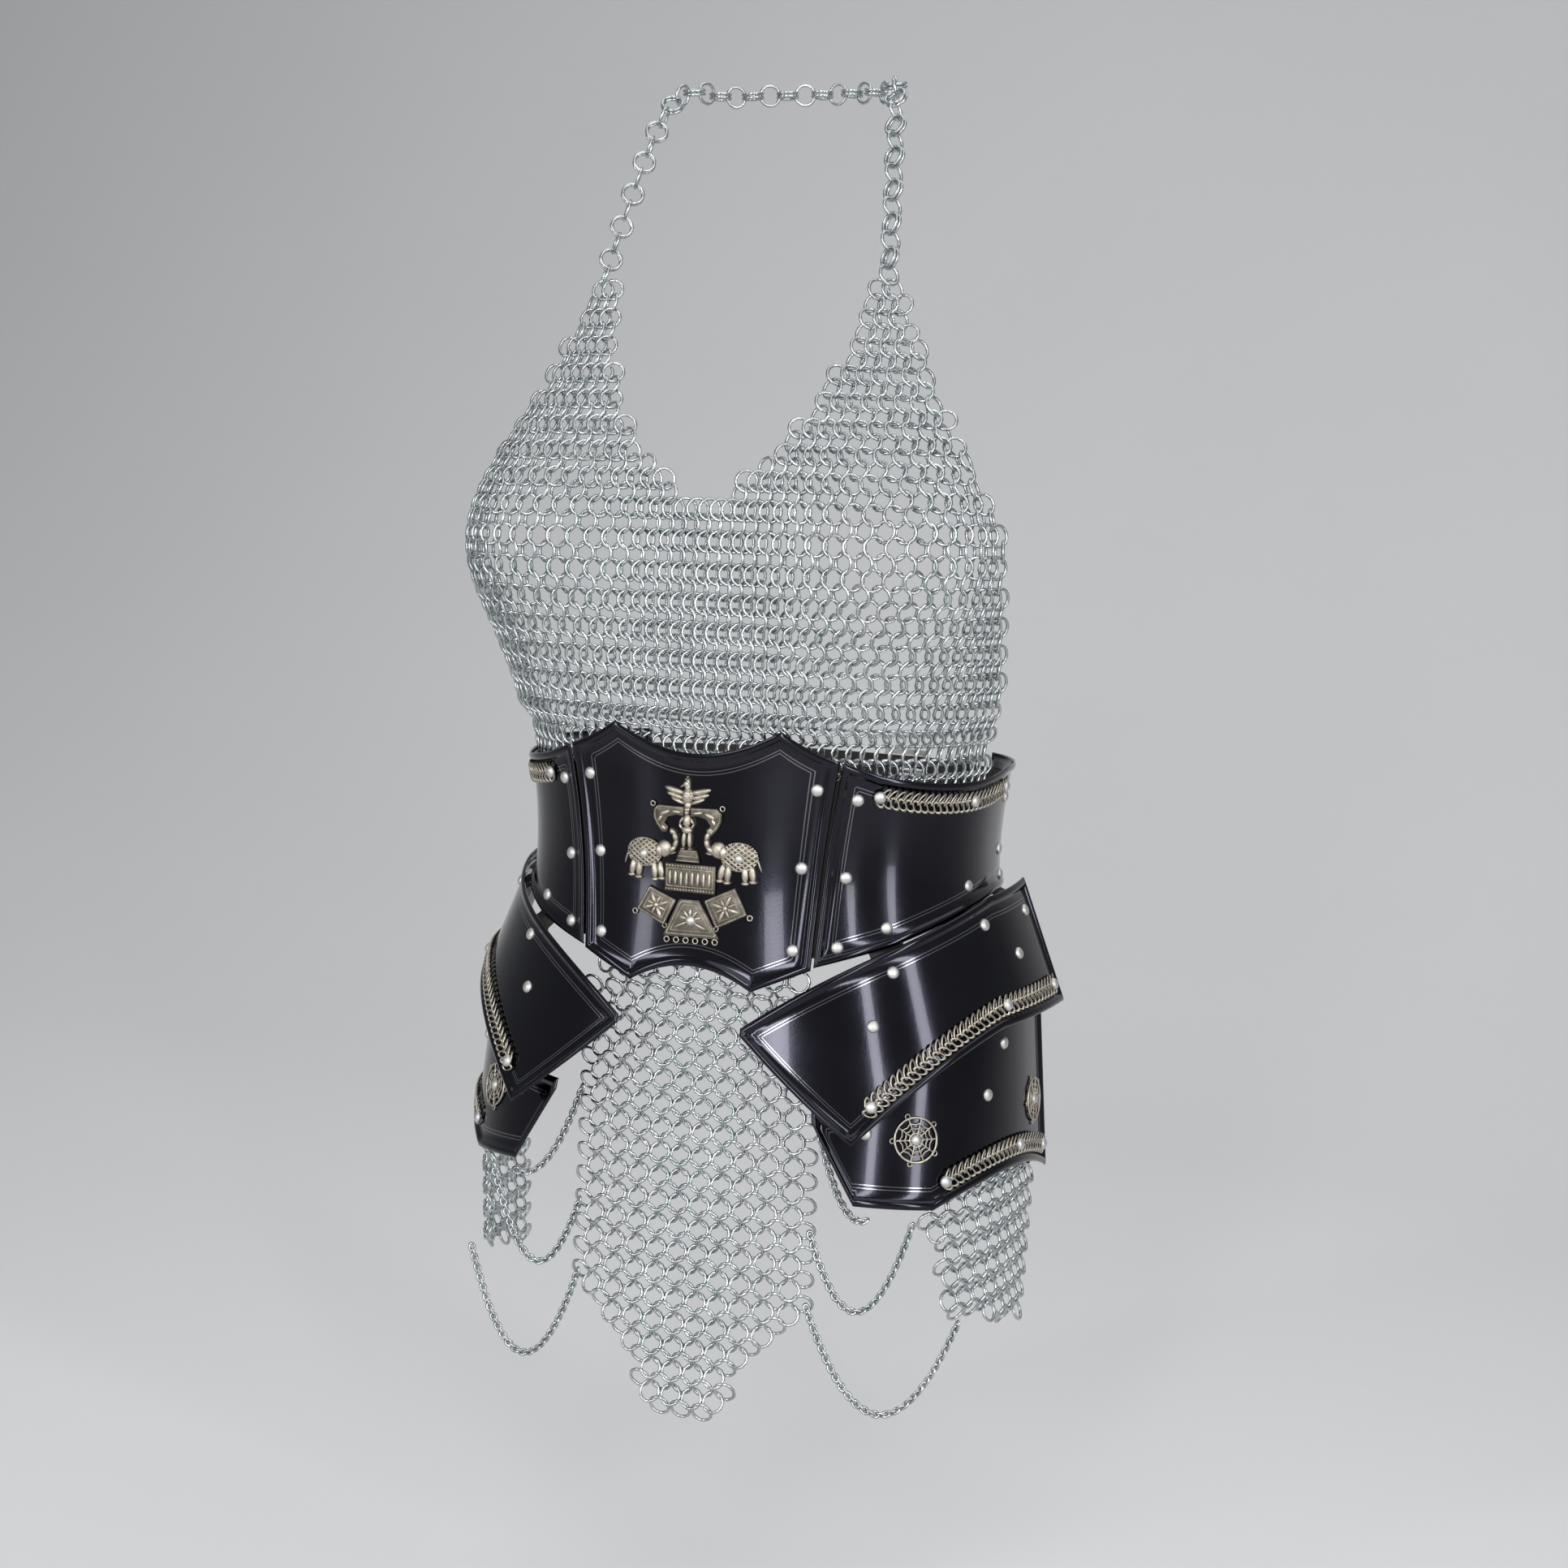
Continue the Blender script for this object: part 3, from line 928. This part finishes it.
def cast(name, shares, bosses, width, height, x, foot_z, side=1, turn=0.0):
    """Make a cast piece on the centre plate: a flat outline with domed bosses fused to it."""
    def scaled(across, up):
        return across * side * width / 2.0, (up - 0.5) * height
    degrees = ORNAMENT_ANGLE + TORSO.turn(0.0, foot_z, x)
    frame = seat(TORSO, degrees, foot_z + height / 2.0, ORNAMENT_LIFT) @ Matrix.Rotation(turn, 4, "Z")
    outline = [scaled(*place) for place in (shares if side > 0 else reversed(shares))]
    made = add_object(name, transformed([(flat_mesh([outline], ORNAMENT_THICKNESS), frame)]), ANTIQUE)
    pieces = []
    for across, up, half_width, half_height in bosses:
        dome = dome_mesh(half_width * width / 2.0, half_height * height, BOSS_HEIGHT, ORNAMENT_THICKNESS / 2.0)
        pieces.append((dome, frame @ Matrix.Translation((*scaled(across, up), ORNAMENT_THICKNESS))))
    unite(made, transformed(pieces))


def ornament():
    """The cast ornament: a bird over a small figure and scrolls, two elephants, a panel and charms."""
    mirrored = tuple((-x, y) for x, y in reversed(CREST_SIDE_SHARES))
    crest = CREST_SIDE_SHARES + (CREST_TOP_SHARE,) + mirrored
    cast("ornament_crest", crest, CREST_BOSS_SHARES, CREST_WIDTH, CREST_HEIGHT, 0.0, CREST_FOOT_Z)
    flutes = [(across, *FLUTE_SHARES) for across in spread(-FLUTE_REACH_SHARE, FLUTE_REACH_SHARE, FLUTES - 1)]
    cast("ornament_panel", SQUARE_SHARES, flutes, PANEL_WIDTH, PANEL_HEIGHT, 0.0, PANEL_FOOT_Z)
    for word, side in SIDES.items():
        cast(f"ornament_elephant_{word}", ELEPHANT_SHARES, ELEPHANT_BOSS_SHARES, ELEPHANT_LENGTH, ELEPHANT_HEIGHT,
             ELEPHANT_X * side, ELEPHANT_FOOT_Z, -side)
        cast(f"ornament_charm_{word}", SQUARE_SHARES, CHARM_BOSS_SHARES, CHARM_SIZE, CHARM_SIZE, CHARM_X * side,
             CHARM_Z - CHARM_SIZE / 2.0, 1, math.radians(CHARM_TURN) * side)
    half = DROP_WIDTH / 2.0
    bosses = [(x / half, 0.0, DROP_LOOP_RADIUS / half, DROP_LOOP_RADIUS / DROP_HEIGHT)
              for x in spread(DROP_LOOP_RADIUS - half, half - DROP_LOOP_RADIUS, DROP_LOOPS - 1)]
    bosses.append((0.0, 0.5, RIVET_RADIUS / half, RIVET_RADIUS / DROP_HEIGHT))
    narrow = DROP_TOP / DROP_WIDTH
    cast("ornament_drop", ((-1.0, 0.0), (1.0, 0.0), (narrow, 1.0), (-narrow, 1.0)), bosses, DROP_WIDTH,
         DROP_HEIGHT, 0.0, DROP_FOOT_Z)


def pivots_at(name, place):
    """Return the empties of a joint on both sides, at a place on the left side."""
    return {word: empty_at(f"{name}_pivot_{word}", (place.x * side, place.y, place.z))
            for word, side in SIDES.items()}


def build():
    """Make every piece."""
    hinge = APRON_WALL.point(APRON_TOP_ANGLE / 2.0, APRON_TOP_Z, -MAIL / 2.0)
    apron_pivot = empty_at("apron_pivot", (0.0, hinge.y, hinge.z))
    upper_pivots = pivots_at("upper", UPPER.bare(UT_HINGE_ANGLE, UT_HINGE_Z))
    front_bend = LOWER.bare(TASSET_HANGER_ANGLES["front"][1], LT_HINGE_FRONT_Z)
    rear_bend = LOWER.bare(TASSET_HANGER_ANGLES["rear"][1], LT_HINGE_REAR_Z)
    lower_pivots = pivots_at("lower", (front_bend + rear_bend) / 2.0)
    hip_pivots = pivots_at("hip", HIP_WALL.point(HIP_MAIL_TOP_ANGLE, HIP_MAIL_TOP_Z, -MAIL / 2.0))
    strap_heights = {"upper": UPPER_STRAP_Z, "lower": LOWER_STRAP_Z}
    prong_pivots = {word: empty_at(f"prong_pivot_{word}", TORSO.point(HEEL_ANGLE, z, SEAT + FRAME_THICKNESS / 2.0))
                    for word, z in strap_heights.items()}
    mail_top()
    halter_chain()
    apron = mail_yoke_and_apron(apron_pivot)
    centre_plate()
    belt = side_plates()
    belt_leathers()
    upper_tassets(belt, upper_pivots)
    lower = lower_tassets(upper_pivots, lower_pivots)
    rosettes(lower, lower_pivots)
    hip_mail(hip_pivots)
    drapes(apron, apron_pivot)
    back_closure(strap_heights, prong_pivots)
    ornament()


for stale in list(bpy.data.objects):
    bpy.data.objects.remove(stale)
PARTS = new_collection("chainmail_cuirass")
TOOLS = new_collection("shaping_tools")
build()
